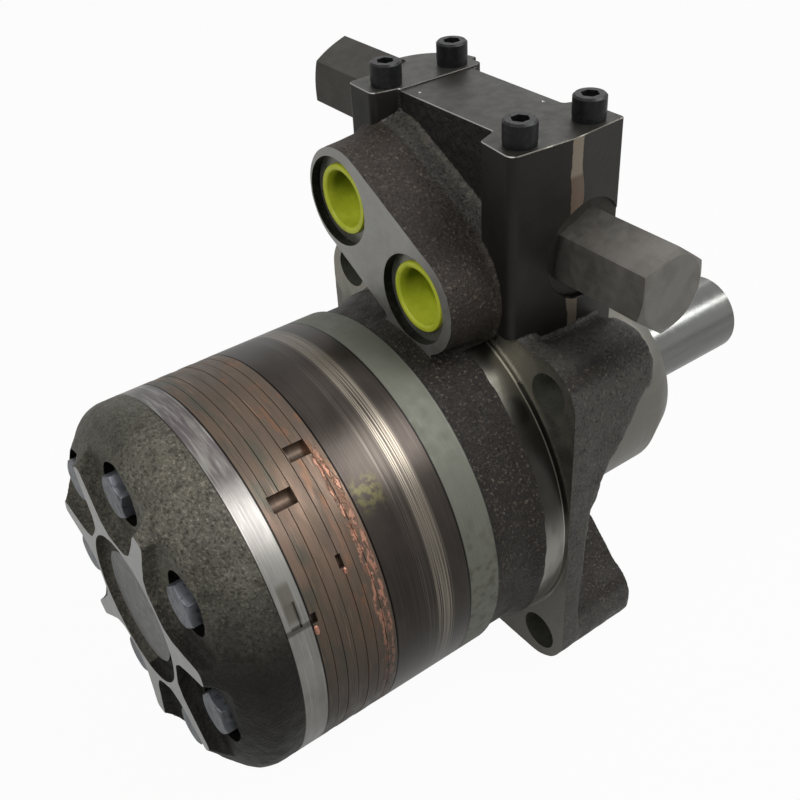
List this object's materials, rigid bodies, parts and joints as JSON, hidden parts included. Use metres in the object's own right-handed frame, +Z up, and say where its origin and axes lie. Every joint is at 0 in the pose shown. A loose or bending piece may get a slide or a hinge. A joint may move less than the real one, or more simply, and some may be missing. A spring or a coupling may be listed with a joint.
{
  "type": "orbital hydraulic motor",
  "caption": "Orbital hydraulic motor with a square bolt flange, a stacked roller rotor set, a pocketed end cover, a keyed shaft and a cross-port relief valve tower.",
  "frame": {"origin": "centre of the flange bolt pattern, on the flange's rear mounting face", "axes": "+X along the output shaft, out of the shaft end; +Z up through the valve tower; +Y to the far side, where the upper relief cap points"},
  "size_m": [0.2653, 0.1504, 0.1971],
  "materials": {
    "housing": "dark cast, machined faces bright",
    "end_cover": "coarse cast, machined web face",
    "end_cover_bolts": "black oxide",
    "commutator_ring": "turned",
    "commutator": "ground",
    "commutator_seal": "moulded",
    "manifold": "copper brazed",
    "stator": "dark heat treated",
    "rotor": "ground",
    "roller_1": "ground",
    "roller_2": "ground",
    "roller_3": "ground",
    "roller_4": "ground",
    "roller_5": "ground",
    "roller_6": "ground",
    "roller_7": "ground",
    "wear_plate": "lapped",
    "drive_link": "hardened",
    "output_shaft": "ground",
    "inner_bearing": "ground",
    "outer_bearing": "ground",
    "thrust_bearing": "ground",
    "thrust_washer": "ground",
    "shaft_seal": "moulded",
    "backup_washer": "plain",
    "dust_seal": "moulded",
    "body_seals": "moulded",
    "tower_screws": "black oxide",
    "tower_lock_washers": "black oxide",
    "near_relief_cap": "plain drawn bar",
    "far_relief_cap": "plain drawn bar",
    "relief_cap_seals": "moulded",
    "relief_seats": "ground",
    "near_relief_poppet": "ground",
    "far_relief_poppet": "ground",
    "near_relief_spring": "spring wire",
    "far_relief_spring": "spring wire",
    "upper_port_plug": "bright yellow-green",
    "lower_port_plug": "bright yellow-green"
  },
  "bodies": {
    "motor_body": {"housing": "housing", "end_cover": "end_cover", "end_cover_bolts": "end_cover_bolts", "commutator_ring": "commutator_ring", "manifold": "manifold", "stator": "stator", "wear_plate": "wear_plate", "inner_bearing": "inner_bearing", "outer_bearing": "outer_bearing", "thrust_bearing": "thrust_bearing", "thrust_washer": "thrust_washer", "shaft_seal": "shaft_seal", "backup_washer": "backup_washer", "dust_seal": "dust_seal", "body_seals": "body_seals", "tower_screws": "tower_screws", "tower_lock_washers": "tower_lock_washers", "near_relief_cap": "near_relief_cap", "far_relief_cap": "far_relief_cap", "relief_cap_seals": "relief_cap_seals", "relief_seats": "relief_seats", "near_relief_spring": "near_relief_spring", "far_relief_spring": "far_relief_spring"},
    "output_shaft": {"output_shaft": "output_shaft"},
    "orbit_carrier": {"commutator": "commutator", "commutator_seal": "commutator_seal"},
    "rotor": {"rotor": "rotor"},
    "drive_link": {"drive_link": "drive_link"},
    "near_poppet": {"near_relief_poppet": "near_relief_poppet"},
    "far_poppet": {"far_relief_poppet": "far_relief_poppet"},
    "upper_plug": {"upper_port_plug": "upper_port_plug"},
    "lower_plug": {"lower_port_plug": "lower_port_plug"},
    "roller_1": {"roller_1": "roller_1"},
    "roller_2": {"roller_2": "roller_2"},
    "roller_3": {"roller_3": "roller_3"},
    "roller_4": {"roller_4": "roller_4"},
    "roller_5": {"roller_5": "roller_5"},
    "roller_6": {"roller_6": "roller_6"},
    "roller_7": {"roller_7": "roller_7"}
  },
  "joints": [
    {"name": "output_shaft_spin", "type": "hinge", "parent": "motor_body", "child": "output_shaft", "pos_m": [0, 0, 0], "axis": [1, 0, 0], "continuous": true},
    {"name": "commutator_orbit", "type": "hinge", "parent": "motor_body", "child": "orbit_carrier", "pos_m": [0, 0, 0], "axis": [1, 0, 0], "continuous": true},
    {"name": "rotor_spin", "type": "hinge", "parent": "orbit_carrier", "child": "rotor", "pos_m": [-0.0541, 0, -0.0029], "axis": [1, 0, 0], "continuous": true},
    {"name": "drive_link_spin", "type": "hinge", "parent": "orbit_carrier", "child": "drive_link", "pos_m": [0.012, 0, 0], "axis": [0.999, 0, 0.0439], "continuous": true},
    {"name": "roller_1_spin", "type": "hinge", "parent": "motor_body", "child": "roller_1", "pos_m": [-0.0541, 0, -0.037], "axis": [1, 0, 0], "continuous": true},
    {"name": "roller_2_spin", "type": "hinge", "parent": "motor_body", "child": "roller_2", "pos_m": [-0.0541, 0.02893, -0.02307], "axis": [1, 0, 0], "continuous": true},
    {"name": "roller_3_spin", "type": "hinge", "parent": "motor_body", "child": "roller_3", "pos_m": [-0.0541, 0.03607, 0.00823], "axis": [1, 0, 0], "continuous": true},
    {"name": "roller_4_spin", "type": "hinge", "parent": "motor_body", "child": "roller_4", "pos_m": [-0.0541, 0.01605, 0.03334], "axis": [1, 0, 0], "continuous": true},
    {"name": "roller_5_spin", "type": "hinge", "parent": "motor_body", "child": "roller_5", "pos_m": [-0.0541, -0.01605, 0.03334], "axis": [1, 0, 0], "continuous": true},
    {"name": "roller_6_spin", "type": "hinge", "parent": "motor_body", "child": "roller_6", "pos_m": [-0.0541, -0.03607, 0.00823], "axis": [1, 0, 0], "continuous": true},
    {"name": "roller_7_spin", "type": "hinge", "parent": "motor_body", "child": "roller_7", "pos_m": [-0.0541, -0.02893, -0.02307], "axis": [1, 0, 0], "continuous": true},
    {"name": "near_relief_lift", "type": "slide", "parent": "motor_body", "child": "near_poppet", "axis": [0, -1, 0], "range_m": [0, 0.0015], "stiffness_N_per_m": 3000, "springref_m": -0.002, "deforming": ["near_relief_spring"]},
    {"name": "far_relief_lift", "type": "slide", "parent": "motor_body", "child": "far_poppet", "axis": [0, 1, 0], "range_m": [0, 0.0015], "stiffness_N_per_m": 3000, "springref_m": -0.002, "deforming": ["far_relief_spring"]},
    {"name": "upper_plug_pull", "type": "slide", "parent": "motor_body", "child": "upper_plug", "axis": [-1, 0, 0], "range_m": [0, 0.03]},
    {"name": "lower_plug_pull", "type": "slide", "parent": "motor_body", "child": "lower_plug", "axis": [-1, 0, 0], "range_m": [0, 0.03]}
  ],
  "couplings": [
    {"joint": "commutator_orbit", "follows": "output_shaft_spin", "ratio": -6},
    {"joint": "rotor_spin", "follows": "output_shaft_spin", "ratio": 7},
    {"joint": "drive_link_spin", "follows": "output_shaft_spin", "ratio": 7},
    {"joint": "roller_1_spin", "follows": "output_shaft_spin", "ratio": -4.6773},
    {"joint": "roller_2_spin", "follows": "output_shaft_spin", "ratio": -4.6773},
    {"joint": "roller_3_spin", "follows": "output_shaft_spin", "ratio": -4.6773},
    {"joint": "roller_4_spin", "follows": "output_shaft_spin", "ratio": -4.6773},
    {"joint": "roller_5_spin", "follows": "output_shaft_spin", "ratio": -4.6773},
    {"joint": "roller_6_spin", "follows": "output_shaft_spin", "ratio": -4.6773},
    {"joint": "roller_7_spin", "follows": "output_shaft_spin", "ratio": -4.6773}
  ]
}
